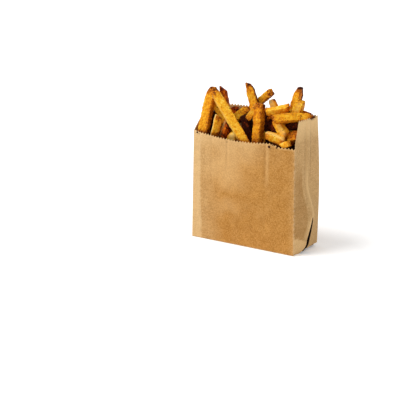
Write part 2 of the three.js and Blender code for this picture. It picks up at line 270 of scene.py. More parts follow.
gusset = {
    "creaseTopOut": 1, "creaseTopY": -2.5,
    "creaseLowOut": 6, "creaseLowY": 2,
    "straightFrom": 64, "apexHeight": 30,
    "foldDepth": 15, "foldShape": 0.8, "pullIn": 0.5,
    "creaseGap": 0.9,
    "slitShare": 0.4, "slitShift": 0.2,  # of the gap, and how far back it ends at the foot
    "flapReach": 10.8, "flapCurve": 1.36, "flapMost": 0.64,
    "backReach": 5.8, "backCurve": 1.9,
    "footTuck": 5.5, "footHeight": 7.5, "footCurve": 1.3,
    "facetTop": (16.5, 10.5),  # of the tucked foot, at the corner and at the fold
    "facetDent": 1.3,
    "backLift": 2.4,  # the back flap ends here, with the paper set back under it
    "setBack": 3.5,
    "setBackEdge": (0.5, 1.15),  # shares of that lift
    "panelSwell": 0.2,
    "backSwell": 2.0, "swellReach": (14, 12), "swellAside": 0.4,  # at the back corners
    "columns": (26, 9, 1, 9, 34),  # front half, fold in, fold's end, fold out, back half
}
sideColumns = sum(gusset["columns"])

rim = {
    "toothDepth": 1.5,
    "toothWave": (0.5, 0.0, -0.5, 0.0),  # over four columns
    "sideTooth": 3.1,
    "lip": [
        (-56, 100.2), (-50, 98.5), (-39, 97.3), (-27, 96.2), (-5, 95.2), (10, 95.6),
        (24, 96.7), (30, 97), (33.5, 96.2), (38, 94.4), (56, 94),
    ],
    "frontHeight": 95,  # about the lip's
    "backHeight": 98,  # of the lip's row, round the back
    "lipMerge": 20,  # side columns over which it gets there
    "sideStart": 98.5, "rightTopFrontY": -13.5, "leftTopFrontY": 3,
    "lowRowsTo": 86,
    "lipShares": (0.25, 0.5, 0.72, 0.86, 1),
    "topShares": (0.12, 0.25, 0.38, 0.5, 0.62, 0.74, 0.85, 0.92, 1),
}

ripple = {
    "depth": 0.95, "rise": (0, 14), "edgeFade": 4,
    "wide": (4.2, 34), "small": (11, 13),  # waves across a panel, and their height
    "smallShare": 0.35, "smallSeed": 7.3,
    "seeds": {"front": 1, "back": 5, "seam": 5, "right": 10, "left": 8},
    "onSides": 0.6, "sideRise": (26, 50),
}

frontShape = {
    "creases": [(-14.2, 58, 0.35), (25.4, 52, 0.4), (4, 70, 0.15), (-31, 40, 0.18)],  # x, lowest, depth
    "creaseRise": 22, "creaseWidth": 1.3,
    "wander": (0.4, 20),  # how far, and over which height
    "ridge": (2.6, 2.2, 0.6),  # beside each crease: how far, how wide, its share of the depth
    "dents": [(8.7, 19.6, 2.6, 1.1, 0.9), (8.2, 17, 4, 1.3, -0.5), (-36, 30, 5, 2, 0.5)],
    "band": (-44, 5, 0.9), "bandRise": (4, 30),  # the left edge is a flat facet: place, width, lift
}


def halfWidth(z):
    return bag["width"] / 2 * between(1, bag["topWidthScale"], z / bag["height"])


def halfDepth(z):
    return bag["depth"] / 2 * between(1, bag["topDepthScale"], z / bag["height"])


def bellyOut(across, z):
    rise = eased(z, 0, bag["fullBulgeHeight"])
    return bag["panelBulge"] * rise * math.sin(math.pi * held(across)) ** bag["bellyFlatness"]


def gussetPlan(z):
    low = 1 - eased(z, gusset["apexHeight"], gusset["straightFrom"])
    fold = held(1 - z / gusset["apexHeight"])
    foot = held(1 - z / gusset["footHeight"])
    creaseY = between(gusset["creaseTopY"], gusset["creaseLowY"], low)
    out = between(gusset["creaseTopOut"], gusset["creaseLowOut"], low)
    out *= (1 - foot**2) * (1 - gusset["pullIn"] * fold)
    lean = gusset["flapReach"] * min(fold, gusset["flapMost"]) ** gusset["flapCurve"]
    lean += gusset["footTuck"] * foot ** gusset["footCurve"]
    flapY = creaseY - gusset["creaseGap"] - lean
    backY = creaseY + gusset["creaseGap"] - gusset["backReach"] * fold ** gusset["backCurve"]
    creaseX = halfWidth(z) + out
    innerX = creaseX - gusset["foldDepth"] * fold ** gusset["foldShape"]
    middleY = between(flapY, backY, 0.5 + gusset["slitShift"] * foot)
    return creaseX, innerX, flapY, middleY, backY


# how far below its crease a place on the tucked foot's facet lies
def facetShare(share, z):
    return held(1 - z / between(*gusset["facetTop"], share))


# how far the paper under the back flap is set back
def setBackAt(z):
    low, high = gusset["setBackEdge"]
    return gusset["setBack"] * (1 - eased(z, low * gusset["backLift"], high * gusset["backLift"]))


def swellBack(place):
    acrossReach, depthReach = gusset["swellReach"]
    edge = hump(halfWidth(place.z) - abs(place.x), acrossReach)
    edge *= hump(halfDepth(place.z) - place.y, depthReach)
    edge *= gusset["backSwell"] * math.sin(math.pi * held(place.z / bag["height"]))
    place.y += edge
    place.x += math.copysign(gusset["swellAside"] * edge, place.x)


# a place on the right side panel, by its column from the front corner
def gussetPlace(column, z):
    creaseX, innerX, flapY, middleY, backY = gussetPlan(z)
    corner, half, slit = halfWidth(z), halfDepth(z), gusset["slitShare"] * gusset["creaseGap"]
    stops = [0]
    for count in gusset["columns"]:
        stops.append(stops[-1] + count)
    stretch = max(i for i in range(5) if column >= stops[i] or i == 0)
    share = held((column - stops[stretch]) / gusset["columns"][stretch])
    if stretch in (0, 4):
        share = share if stretch == 0 else 1 - share
        x = between(corner, creaseX, share + gusset["panelSwell"] * share * (1 - share))
        if stretch == 4:
            return Vector((x, between(half, backY, share), z))
        dent = gusset["facetDent"] * facetShare(share, z) * 4 * share * (1 - share)
        return Vector((x - dent, between(-half, flapY, share), z))
    if stretch == 1:
        share = share**2
    elif stretch == 3:
        share = 1 - (1 - share) ** 2
    ends = [(creaseX, flapY), (innerX, middleY - slit), (innerX, middleY + slit), (creaseX, backY)]
    (x0, y0), (x1, y1) = ends[stretch - 1], ends[stretch]
    return Vector((between(x0, x1, share), between(y0, y1, share), z))


# the column where the side panel lies at a depth, for its free front edge
def gussetColumnAt(y, z):
    _, _, flapY, _, backY = gussetPlan(z)
    half = halfDepth(z)
    front, back = gusset["columns"][0], gusset["columns"][4]
    if y < flapY:
        return front * held((y + half) / (flapY + half))
    if y < backY:
        return between(front, sideColumns - back, (y - flapY) / (backY - flapY))
    return sideColumns - back + back * held((y - backY) / (half - backY))


def lipHeight(x):
    line = rim["lip"]
    for (x0, z0), (x1, z1) in zip(line, line[1:]):
        if x <= x1:
            return between(z0, z1, held((x - x0) / (x1 - x0)))
    return line[-1][1]


def toothByColumn(column):
    return rim["toothDepth"] * rim["toothWave"][column % 4]


def toothByPlace(y):
    part = (y / rim["sideTooth"]) % 1
    return rim["toothDepth"] * (abs(part * 2 - 1) - 0.5)


def paperRows():
    rows = [0.0]
    while rows[-1] < rim["lowRowsTo"]:
        z = rows[-1]
        rows.append(z + next(step for height, step in bag["rowSteps"] if z < height))
    return rows


# a row's height in a column, given the lip and the top over it
def rowHeight(row, rows, lip, top, lipTooth, topTooth):
    low = len(rows) - 1
    lipRow = low + len(rim["lipShares"])
    if row <= low:
        return rows[row]
    if row <= lipRow:
        share = rim["lipShares"][row - low - 1]
        return between(rows[-1], lip, share) + (lipTooth if row == lipRow else 0)
    share = rim["topShares"][row - lipRow - 1]
    return between(lip, top, share) + (topTooth if share == 1 else 0)


def paperRipple(across, z, side):
    seed = ripple["seeds"][side]
    fade = held(ripple["edgeFade"] * across * (1 - across)) * eased(z, *ripple["rise"])
    (wideCount, wideHeight), (smallCount, smallHeight) = ripple["wide"], ripple["small"]
    wide = noise.noise(Vector((across * wideCount, z / wideHeight, seed)))
    small = noise.noise(Vector((across * smallCount, z / smallHeight, seed + ripple["smallSeed"])))
    return ripple["depth"] * fade * (wide + ripple["smallShare"] * small)


# a soft spot on the front: its place, height, two widths and strength
def spot(x, z, place, height, wide, tall, strength):
    return strength * hump(x - place, wide) * hump(z - height, tall)


def frontRelief(x, z):
    (wander, length), (aside, width, share) = frontShape["wander"], frontShape["ridge"]
    relief = 0.0
    for place, lowest, depth in frontShape["creases"]:
        away = x - place - wander * noise.noise(Vector((z / length, place, 0)))
        near = eased(z, lowest, lowest + frontShape["creaseRise"])
        relief -= depth * hump(away, frontShape["creaseWidth"]) * near
        relief += share * depth * hump(away - aside, width) * near
    for dent in frontShape["dents"]:
        relief += spot(x, z, *dent)
    place, width, lift = frontShape["band"]
    return relief + lift * hump(x - place, width) * eased(z, *frontShape["bandRise"])


# how far the front panel stands out from the bag's flat front
def frontOut(x, z):
    across = 0.5 + x / (2 * halfWidth(z))
    out = bellyOut(across, z) + paperRipple(across, z, "front") + frontRelief(x, z)
    lip = lipHeight(x)
    inner = held(bag["flareFade"] * across * (1 - across))
    return out + bag["lipFlare"] * eased(z, lip - bag["flareHeight"], lip) * inner


# ---- where the paper is worn and oiled, where it is paler or painted with highlight, and where painted shade darkens it
panelLook = {
    "cornerWear": 1.0,
    "bandFold": (-44, 1.2, 0.5),  # place, width, share
    "bandEdge": (-45.5, -42.5), "bandPaintedLight": 0.32,
    # the left band is painted lighter, as light on the facet that faces it
    "leftOil": 0.35, "leftFade": (-46, -14),  # least at the left and the top
    "topLoss": 0.4, "topFade": (62, 96),
    "rightKept": 0.8, "rightFade": (0, 40),  # of what the top loses
    "cornerLoss": 0.3, "cornerReach": 4,
    "creasePaintedHighlight": (1.8, 1.9, 0.7), "creasePaintedShade": (-0.6, 1.0, 0.3),  # painted highlight and painted shade beside the creases: how far beside, how wide, share
    # a painted highlight along the lip's top edge
    "lipPaintedHighlight": 0.6, "lipDepth": 1.8,
    "paleSpots": [(2, 84, 16, 14, 0.3), (-34, 80, 7, 18, 0.22)],
    "topPale": 0.4, "topRise": (78, 95), "topRight": (8, 34),
    "patchWander": (9, 15, 4),  # how far, wave length, seed
    "upperPatch": (-15, 21, 0.39), "upperPatchRise": (46, 62),
    "lowerPatch": (-13, 36, 13, 7, 0.26),
    "backOil": 0.7, "backEdge": (4, 20), "backLoss": 0.5, "backFade": (45, 98),
}

sideLook = {
    "backFrom": 0.55,  # the back flap starts at this share of the way round
    "press": (9, 4, 1.8),  # by the fry on the right edge: where, how wide, how deep
    "fold": (0.8, 0.5), "foldFade": (34, 50),  # width, share
    "foldPaintedShade": (0.03, 0.4),  # how deep in the fold the painted shade starts and is full
    "underFlapPaintedShade": (0.4, 1.2),  # the same painted shade under the back flap
    # the tucked foot's facet is painted lighter, as light falling on it
    "facetPaintedLight": 0.4, "facetEdge": 0.06,
    "paintedLightStrip": (1.7, 0.6),  # painted light, down the crease and on to the flap: width, share
    "stripAside": (0.8, -1), "stripCross": (-6, 5), "stripRise": (8, 24), "stripFade": (62, 84),
    "edgePale": (0.9, 0.7),  # along the free edge: share, curve
    # the side's low front part is oiled and darkened with painted shade
    "lowOil": 0.45, "lowPaintedShade": 0.12, "lowEdge": (-6, -4), "lowFade": (60, 88),
    "streaks": [(5.4, 0.8, 0.24, 66, 84), (-4, 1, 0.12, 50, 66)],  # dark streaks of painted shade: y, width, share, from and to height
}


def cornerWear(away, half):
    width = panelLook["cornerWear"]
    return max(hump(away - half, width), hump(away + half, width))


def frontOil(x, z):
    look = panelLook
    oil = between(look["leftOil"], 1, eased(x, *look["leftFade"]))
    kept = look["rightKept"] * eased(x, *look["rightFade"])
    oil *= 1 - look["topLoss"] * eased(z, *look["topFade"]) * (1 - kept)
    oil *= 1 - look["cornerLoss"] * hump(x - bag["width"] / 2, look["cornerReach"])
    return oil * eased(x, *look["bandEdge"])


# two soft patches left of the front's middle are painted paler
def palerPatches(x, z):
    far, length, seed = panelLook["patchWander"]
    wander = far * noise.noise(Vector((x / length, z / length, seed)))
    middle, width, share = panelLook["upperPatch"]
    upper = share * hump(x - middle + wander, width) * eased(z + wander, *panelLook["upperPatchRise"])
    return max(upper, spot(x, z + wander, *panelLook["lowerPatch"]))


def besideCreases(x, z, aside, width, share):
    marks = []
    for line, lowest, depth in frontShape["creases"]:
        near = eased(z, lowest, lowest + frontShape["creaseRise"]) * depth
        marks.append(share * near * hump(x - line - aside, width))
    return max(marks)


def frontPaleness(x, z):
    look, lip = panelLook, lipHeight(x)
    return max(
        besideCreases(x, z, *look["creasePaintedHighlight"]),
        look["lipPaintedHighlight"] * eased(z, lip - look["lipDepth"], lip),
        look["topPale"] * eased(z, *look["topRise"]) * (1 - eased(x, *look["topRight"])),
        look["bandPaintedLight"] * (1 - eased(x, *look["bandEdge"])),
        palerPatches(x, z),
        *(spot(x, z, *place) for place in look["paleSpots"]),
    )


# the next three give a vertex its place, how worn and oiled it is, how pale or painted with highlight, and
# how dark with painted shade
def frontVertex(i, row, rows):
    across = i / bag["panelColumns"]
    x = between(-halfWidth(rim["frontHeight"]), halfWidth(rim["frontHeight"]), across)
    z = rowHeight(row, rows, lipHeight(x), lipHeight(x), toothByColumn(i), 0)
    x = between(-halfWidth(z), halfWidth(z), across)
    middle, width, share = panelLook["bandFold"]
    fold = max(cornerWear(x, halfWidth(z)), share * hump(x - middle, width))
    shaded = besideCreases(x, z, *panelLook["creasePaintedShade"])
    place = Vector((x, -halfDepth(z) - frontOut(x, z), z))
    return place, (fold, frontOil(x, z), frontPaleness(x, z), shaded)


def backVertex(side, i, row, rows):
    across = i / bag["panelColumns"]
    z = rowHeight(row, rows, rim["backHeight"], bag["height"], 0, toothByColumn(i))
    x = between(halfWidth(z), -halfWidth(z), across)
    out = bellyOut(across, z) + paperRipple(across, z, side)
    if side == "seam":
        before, full = bag["seamRise"]
        out += bag["seamLift"] * eased(i, bag["seamStart"] - before, bag["seamStart"] - full)
    oil = panelLook["backOil"] * eased(halfWidth(z) - abs(x), *panelLook["backEdge"])
    oil *= 1 - panelLook["backLoss"] * eased(z, *panelLook["backFade"])
    reach = halfWidth(z) - setBackAt(z)
    place = Vector((held(x, -reach, reach), halfDepth(z) + out, z))
    swellBack(place)
    return place, (cornerWear(x, halfWidth(z)), oil, 0.0, 0.0)


def sideVertex(side, i, row, rows, lastRow):
    mirror = 1 if side == "right" else -1
    top = bag["height"]
    cornerLip = lipHeight(mirror * halfWidth(rim["frontHeight"])) + toothByColumn(0)
    lip = between(cornerLip, rim["backHeight"], held(i / rim["lipMerge"]))
    z = rowHeight(row, rows, lip, top, 0, 0)
    lean = held((z - rim["sideStart"]) / (top - rim["sideStart"]))
    free = gussetColumnAt(between(-halfDepth(z), rim[side + "TopFrontY"], lean), z) if lean > 0 else 0
    share = i / sideColumns
    place = gussetPlace(between(free, sideColumns, share), z)
    creaseX, _, flapY, _, backY = gussetPlan(z)
    if setBackAt(z) > 0 and share > sideLook["backFrom"]:
        place.x = min(place.x, halfWidth(z) - setBackAt(z))
    # painted shade: near black deep in the fold and under the back flap
    shaded = 0.0
    if place.y > backY:
        shaded = eased(setBackAt(z), *sideLook["underFlapPaintedShade"])
    elif z < gusset["apexHeight"] and flapY < place.y < backY:
        shaded = eased(creaseX - place.x, *sideLook["foldPaintedShade"])
    place.x += ripple["onSides"] * paperRipple(share, z, side) * eased(z, *ripple["sideRise"])
    swellBack(place)
    if side == "right":
        middle, width, depth = sideLook["press"]
        place.z -= depth * hump(place.y - middle, width) * lean**2
    if row == lastRow:
        place.z += toothByPlace(place.y)
    marks = sideMarks(place.y, z, lean, shaded)
    place.x *= mirror
    return place, marks


def sideMarks(y, z, lean, shaded):
    look, half = sideLook, halfDepth(z)
    _, _, flapY, _, backY = gussetPlan(z)
    width, share = look["fold"]
    crease = share * hump(min(abs(y - flapY), abs(y - backY)), width) * (1 - eased(z, *look["foldFade"]))
    onFacet = eased(facetShare(held((y + half) / (flapY + half)), z), 0, look["facetEdge"])
    byBack, byFlap = look["stripAside"]
    width, share = look["paintedLightStrip"]
    line = between(backY + byBack, flapY + byFlap, eased(gusset["apexHeight"] - z, *look["stripCross"]))
    paintedLightStrip = hump(y - line, width) * eased(z, *look["stripRise"]) * (1 - eased(z, *look["stripFade"]))
    edgeShare, edgeCurve = look["edgePale"]
    facet = look["facetPaintedLight"] * onFacet if y <= flapY else 0.0
    faded = max(facet, share * paintedLightStrip, edgeShare * lean**edgeCurve)
    start, end = look["lowEdge"]
    low = (1 - eased(y, flapY + start, flapY + end)) * (1 - eased(z, *look["lowFade"])) * (1 - onFacet)
    streak = max(
        share * hump(y - place, width) * eased(z, start, end)
        for place, width, share, start, end in look["streaks"]
    )
    shaded = max(shaded, look["lowPaintedShade"] * low, streak * (1 - lean**2))
    return max(cornerWear(y, half), crease), look["lowOil"] * low, faded, shaded


# one sheet from the seam round the left side, the front and the right side to the seam again
def paperSheet():
    rows = paperRows()
    lipRow = len(rows) - 1 + len(rim["lipShares"])
    lastRow = lipRow + len(rim["topShares"])
    panel, sides = bag["panelColumns"], sideColumns
    columns = [("back", i) for i in range(bag["seamStart"], panel)]
    columns += [("left", sides - i) for i in range(sides + 1)]
    columns += [("front", i) for i in range(1, panel)]
    columns += [("right", i) for i in range(sides + 1)]
    columns += [("seam", i) for i in range(1, bag["seamEnd"] + 1)]
    frontFirst = columns.index(("left", 0))
    frontLast = columns.index(("right", 0))
    bm = bmesh.new()
    bmesh.ops.create_grid(bm, x_segments=len(columns) - 1, y_segments=lastRow, size=0.5)
    sheetPlace = bm.verts.layers.float_vector.new("sheetPlace")
    layers = [bm.verts.layers.float.new(name) for name in ("worn", "oiled", "faded", "shaded")]
    aboveLip = set()
    for vert in bm.verts:
        column = round((vert.co.x + 0.5) * (len(columns) - 1))
        row = round((vert.co.y + 0.5) * lastRow)
        side, i = columns[column]
        if side == "front":
            place, marks = frontVertex(i, row, rows)
        elif side in ("back", "seam"):
            place, marks = backVertex(side, i, row, rows)
        else:
            place, marks = sideVertex(side, i, row, rows, lastRow)
        if frontFirst <= column <= frontLast and row >= lipRow:
            aboveLip.add(vert)
        vert.co = place * mm
        vert[sheetPlace] = Vector((column * bag["columnWidth"], place.z, 0)) * mm
        for layer, value in zip(layers, marks):
            vert[layer] = value
    extra = [face for face in bm.faces if all(vert in aboveLip for vert in face.verts)]
    bmesh.ops.delete(bm, geom=extra, context="FACES")
    return bm


def addBottom(bm):
    count, halfX, halfY = bag["bottomColumns"], halfWidth(0), halfDepth(0)
    front = [Vector((between(-halfX, halfX, i / count), -halfY, 0)) for i in range(count + 1)]
    right = [gussetPlace(i, 0.0) for i in range(1, sideColumns)]
    outline = front + right + [Vector((-p.x, -p.y, 0)) for p in front]
    outline += [Vector((-p.x, p.y, 0)) for p in reversed(right)]
    backY, reach = gussetPlan(0)[4], halfX - setBackAt(0)
    for place in outline:
        if place.y > backY - 0.01:
            place.x = held(place.x, -reach, reach)
    made = bmesh.ops.create_circle(bm, cap_ends=True, segments=len(outline), radius=1)
    ring = sorted(made["verts"], key=lambda v: math.atan2(v.co.y, v.co.x))
    for vert, place in zip(ring, outline):
        vert.co = (place + Vector((0, 0, bag["bottomLift"]))) * mm
    edge = set(ring)
    bottom = [face for face in bm.faces if all(vert in edge for vert in face.verts)]
    for face in bmesh.ops.triangulate(bm, faces=bottom)["faces"]:
        if face.normal.z > 0:
            face.normal_flip()


kraftLook = {
    "dry": ((0.435, 0.255, 0.099, 1), (0.62, 0.39, 0.172, 1)),  # its dark and its pale fibres
    "oiled": ((0.355, 0.152, 0.027, 1), (0.526, 0.26, 0.066, 1)),
    "faded": (0.88, 0.60, 0.29, 1), "crease": (0.72, 0.51, 0.29, 1),
    # fold is the near-black colour of the painted shade
    "fold": (0.012, 0.005, 0.003, 1), "speck": (0.25, 0.12, 0.04, 1),
    "toneWindow": (0.47, 0.63), "creaseWindow": (0.35, 0.75), "speckWindow": (0.68, 0.74),
    "fibreDepth": 0.00012, "cloudDepth": 0.0012,
}


def kraftFinish():
    look = kraftLook
    finish = Finish("kraftPaper", {"Specular IOR Level": 0.12})
    place = finish.objectPlace()
    sheet = finish.mark("sheetPlace", "Vector")
    cloud = finish.grain(place, 45, 2)
    patch = finish.grain(place, 130, 3)
    mottle = finish.grain(sheet, 420, 5, 0.8)
    fleck = finish.grain(sheet, 900, 3, 0.7)
    fibre = finish.drawnOut(sheet, (700, 2400, 1), 3)
    thread = finish.drawnOut(sheet, (2200, 420, 1), 2)
    tone = 0.3 * mottle + 0.4 * fleck + 0.15 * fibre + 0.1 * thread + 0.15 * patch
    tone = finish.window(tone, *look["toneWindow"])
    dry = finish.mixed(tone, *look["dry"])
    soaked = finish.mixed(tone, *look["oiled"])
    paper = finish.mixed(finish.mark("oiled") + 0.5 * (cloud - 0.5), dry, soaked)
    # paler patches and painted highlight: beside the creases, along the lip, on the left band, on the foot's
    # facet and on the side's crease strip
    paper = finish.mixed(0.7 * finish.mark("faded"), paper, look["faded"])
    broken = finish.window(finish.grain(sheet, 300, 3), *look["creaseWindow"])
    paper = finish.mixed(0.6 * (finish.mark("worn") * broken), paper, look["crease"])
    speck = finish.window(finish.grain(sheet, 1100, 2, 0.4), *look["speckWindow"])
    paper = finish.mixed(0.6 * speck, paper, look["speck"])
    # painted shade from the shaded mark: the fold, the back flap, beside creases, the streaks and the side's
    # low front
    paper = finish.mixed(finish.mark("shaded"), paper, look["fold"])
    height = 0.6 * fibre + 0.6 * thread + 0.8 * mottle
    normal = finish.bumped(height, look["fibreDepth"], finish.bumped(cloud, look["cloudDepth"]))
    return finish.shade(Base_Color=paper, Roughness=0.76 + 0.16 * mottle, Normal=normal)


def makeBag():
    bm = paperSheet()
    addBottom(bm)
    for face in bm.faces:
        face.smooth = True
    piece = makePiece("kraftBag", bm, kraftFinish(), "paper_bag")
    wall = piece.modifiers.new("paperThickness", "SOLIDIFY")
    wall.thickness = bag["paper"] * mm
    wall.offset = -1
    print("paper bag:", len(piece.data.polygons), "faces")


# ---- the fries' places
heap = {
    "wall": 0.8, "clearance": 0.45,
    "floor": 88, "rise": 18, "backLift": 14,  # the upper limit
    "columns": 14, "rows": 4, "spreadX": 98, "spreadY": 32, "jitter": 3,
    "seed": 20, "lookSeed": 520,
    "heading": (-28, 28), "climb": (-5, 62), "turn": (0, 90),
    "bow": (-1.5, 1.5), "point": (0.45, 0.9),
    "length": (34, 58), "thick": (6.2, 7.8), "sink": (2, 9),
    "brown": (0.3, 0.72), "tipBrown": (0.4, 0.9), "red": (-0.5, 0.8),
    "rounds": 90, "spacing": 0.44, "leastDistance": 0.01, "parallel": 1e-6,
    "slide": (-0.56, 0.79, -0.26),
    "shownGloom": 0.27,  # painted shade on the fries on show but the deep ones
}


# every fry on show: tip, foot, thickness, bow, girth of the tip, turn, slant of the cut at its tip,
# then how brown it is, how brown its tip is, and its tint from olive to red
fries = {
    "leftPost": ((-41, -5, 137), (-49, -14, 91), 9.6, -0.7, 0.56, -38, 0, 0.36, 0.46, 0.12),
    "longLean": ((-35.4, -12, 133), (12.3, -16, 74), 7.8, 1.2, 0.7, 35, 0, 0.26, 0.36, 0),
    "leanBehind": ((-39, -5, 133), (-22, -6.5, 114.5), 4.8, 0.4, 0.8, 35, 0, 0.3, 0.4, 0.05),
    "darkTall": ((-37, 4, 135), (-32, 4, 101), 6.6, 0.4, 0.9, 78, -0.9, 0.54, 0.62, 0.6),
    "leftStub": ((-31, -11, 112), (-37, -14, 83), 7, 0, 0.85, 74, 0.5, 0.28, 0.4, 0),
    "underLean": ((-46, 2, 122), (-23, -1, 99), 7.2, 0, 0.8, 68, 0, 0.3, 0.4, -0.2),
    "redShade": ((-25, -4, 107), (-32, -8, 85), 7.2, 0, 0.85, -58, -0.4, 0.56, 0.6, 0.6),
    "paleEnd": ((-16, -10, 99.6), (-17, -13, 84), 8.4, 0, 0.92, -36, 0.35, 0.06, 0.1, -0.1),
    "darkEnd": ((-26, 11, 116), (-44, 8, 103), 6.6, 0, 0.8, -71, 0, 0.42, 0.5, 0.7),
    "oliveBack": ((-14, 11, 117), (-35, 13, 101), 8, 0, 0.85, -83, 0, 0.28, 0.36, -0.5),
    "tallTaper": ((-10, 4, 142), (6, 10, 88), 8.8, 0.3, 0.5, -86, 0.35, 0.32, 0.56, 0.15),
    "gapEnd": ((0, 4, 123), (-7, -1, 111), 5.4, 0, 0.9, -80, 0, 0.3, 0.34, 0.15),
    "midPost": ((8, -4, 127), (11, -13, 75), 8.3, -0.8, 0.82, 14, 0, 0.44, 0.44, 0.15),
    "cutShort": ((9, 12, 135), (-14, 14, 116), 6.3, 0, 0.95, 85, 0, 0.33, 0.4, -0.1),
    "darkCurl": ((12, 8, 129), (27, 5, 97), 6.2, 0.4, 0.8, 54, 0, 0.34, 0.6, 0.2),
    "topLying": ((33, 3, 125), (13.5, -4, 119.8), 5.6, -0.5, 1.05, 59, 0, 0.24, 0.34, 0.1),
    "topUnder": ((33, 5, 119), (12, 2, 115), 6, 0, 0.75, -60, 0, 0.55, 0.6, 0.3),
    "rightPost": ((41, 8, 143), (24, 12, 91), 7.8, 0, 0.46, 75, -0.1, 0.34, 0.7, 0.15),
    "rightStub": ((43, 5, 131), (29, 11, 96), 8.4, 0, 0.8, 61, -0.2, 0.12, 0.2, -0.35),
    "spindle": ((55, 9, 117.3), (25, -10, 115.2), 7.7, -1.3, 0.26, -65, 0, 0.38, 0.64, -0.2),
    "spindleBack": ((49.6, 11.5, 118.4), (39, 12.5, 119.6), 5.4, 0, 0.4, 20, 0, 0.5, 0.6, 0.3),
    "innerDiag": ((23, -2, 114), (36, -7, 101), 7.3, 0, 0.9, 78, 0, 0.24, 0.32, -0.05),
    "frontDiag": ((20, -13, 102), (40, -15, 98), 6.9, 0.4, 0.85, 88, 0, 0.28, 0.4, 0.05),
    "palePiece": ((45, -16, 98), (37, -16, 94), 5.4, 0, 0.85, -82, 0, 0.08, 0.1, 0.3),
    "cornerLean": ((46, 1, 101), (36, -2, 98), 9.8, 0, 0.85, -46, 0, 0.42, 0.46, 0.2),
    "cornerDark": ((41, 7, 110), (30, 6, 106), 6.6, 0, 0.8, -74, 0, 0.92, 0.9, 0.5),
    # the deep ones are near black, as painted shade in the heap's gaps
    "deepRed": ((13, 3, 111), (28, 0, 94), 6.4, 0, 0.8, 44, 0, 0.92, 0.92, 0.7),
    "deepLeft": ((-17, 7, 111), (-4, 2, 85), 6.8, 0, 0.8, 54, 0, 0.95, 0.95, 0.5),
    "deepEdge": ((-44, -1, 114), (-48, -7, 86), 6.8, 0, 0.8, -46, 0, 0.9, 0.9, 0.4),
    "deepPost": ((6, 10, 116), (11, 7, 80), 6.6, 0, 0.8, 23, 0, 0.9, 0.9, 0.4),
    "deepBack": ((-19, 13, 113), (-8, 13, 84), 7.2, 0, 0.8, -30, 0, 0.9, 0.9, 0.4),
}

# sides that are paler, partly cut faces and partly painted highlight, or browner with painted shade where the
# number is negative: which way they face, how much
oddSides = {
    "leftStub": ((-0.9, -0.35, 0.2), 1),
    "longLean": ((-0.7, -0.5, -0.5), 0.3),
    "redShade": ((-0.8, -0.5, 0.2), 0.5),
    "gapEnd": ((-0.7, -0.3, 0.6), 0.8),
    "frontDiag": ((0.25, -0.25, 0.9), 0.7),
    "innerDiag": ((0.1, -0.9, 0.4), 0.4),
    "darkCurl": ((0.2, -0.95, 0.1), 0.5),
    "paleEnd": ((0.3, -0.9, 0.3), 0.9),
    "rightStub": ((0.3, -0.9, 0.2), 0.25),
    "tallTaper": ((0.82, 0.57, 0.1), -0.5),
    "rightPost": ((0.82, 0.57, 0.1), -0.3),
    "leftPost": ((-0.9, -0.1, -0.4), -0.25),
}


# the heap's upper limit, which dips in the middle
def fillTop(x, y):
    out = x / (bag["width"] / 2)
    return heap["floor"] + heap["rise"] * out**2 + heap["backLift"] * y / (bag["depth"] / 2)


def shownFries():
    made = []
    fields = ("tip", "foot", "thick", "bow", "point", "turn", "slant", "brown", "tipBrown", "red")
    for name, values in fries.items():
        fry = dict(zip(fields, values), loose=False, odd=oddSides.get(name))
        fry["tip"], fry["foot"] = Vector(fry["tip"]), Vector(fry["foot"])
        fry["gloom"] = 1 if name.startswith("deep") else heap["shownGloom"]
        made.append(fry)
    return made


def fillFries():
    draw, look = drawFrom(heap["seed"]), drawFrom(heap["lookSeed"])
    columns, rows, jitter = heap["columns"], heap["rows"], heap["jitter"]
    made = []
    for i in range(columns * rows):
        x = ((i % columns + 0.5) / columns - 0.5) * heap["spreadX"] + draw(-jitter, jitter)
        y = ((i // columns + 0.5) / rows - 0.5) * heap["spreadY"] + draw(-jitter, jitter)
        middle = Vector((x, y, fillTop(x, y) - draw(*heap["sink"])))
        heading = math.radians(draw(*heap["heading"])) + (math.pi if i % 2 else 0)
        climb = math.radians(draw(*heap["climb"]))
        length, flat = draw(*heap["length"]), math.cos(climb)
        line = Vector((math.cos(heading) * flat, math.sin(heading) * flat, math.sin(climb))) * length / 2
        fry = {"tip": middle + line, "foot": middle - line, "length": length, "slant": 0, "loose": True}
        fry.update({key: draw(*heap[key]) for key in ("thick", "bow", "point", "turn")})
        fry.update({key: look(*heap[key]) for key in ("brown", "tipBrown", "red")})
        made.append({**fry, "gloom": 1, "odd": None})
    return made


# the shares of two fries' lines where they pass closest
def closestShares(a, b):
    alongA, alongB, apart = a["tip"] - a["foot"], b["tip"] - b["foot"], a["foot"] - b["foot"]
    aa, bb, ab = alongA.dot(alongA), alongB.dot(alongB), alongA.dot(alongB)
    ac, bc = alongA.dot(apart), alongB.dot(apart)
    spread = aa * bb - ab * ab
    shareA = held((ab * bc - ac * bb) / spread) if spread > heap["parallel"] else 0.5
    shareB = held((ab * shareA + bc) / bb)
    return held((ab * shareB - ac) / aa), shareB


# loose fries give way, and those on show only to each other, along the line of sight
def pushFry(fry, other, share, shift):
    if not fry["loose"]:
        slide = Vector(heap["slide"])
        shift = slide * (0.0 if other["loose"] else 0.5 * shift.dot(slide))
    elif other["loose"]:
        shift = shift * 0.5
    fry["foot"] += shift * (1 - share)
    fry["tip"] += shift * share


def keepInside(end, radius):
    z = end.z
    if z > bag["height"]:
        return
    gap = heap["wall"] + heap["clearance"] + radius
    end.x = held(end.x, gap - halfWidth(z), halfWidth(z) - gap)
    across = 0.5 + end.x / (2 * halfWidth(z))
    depth = halfDepth(z) + bellyOut(across, z) - gap
    end.y = held(end.y, -depth, depth)


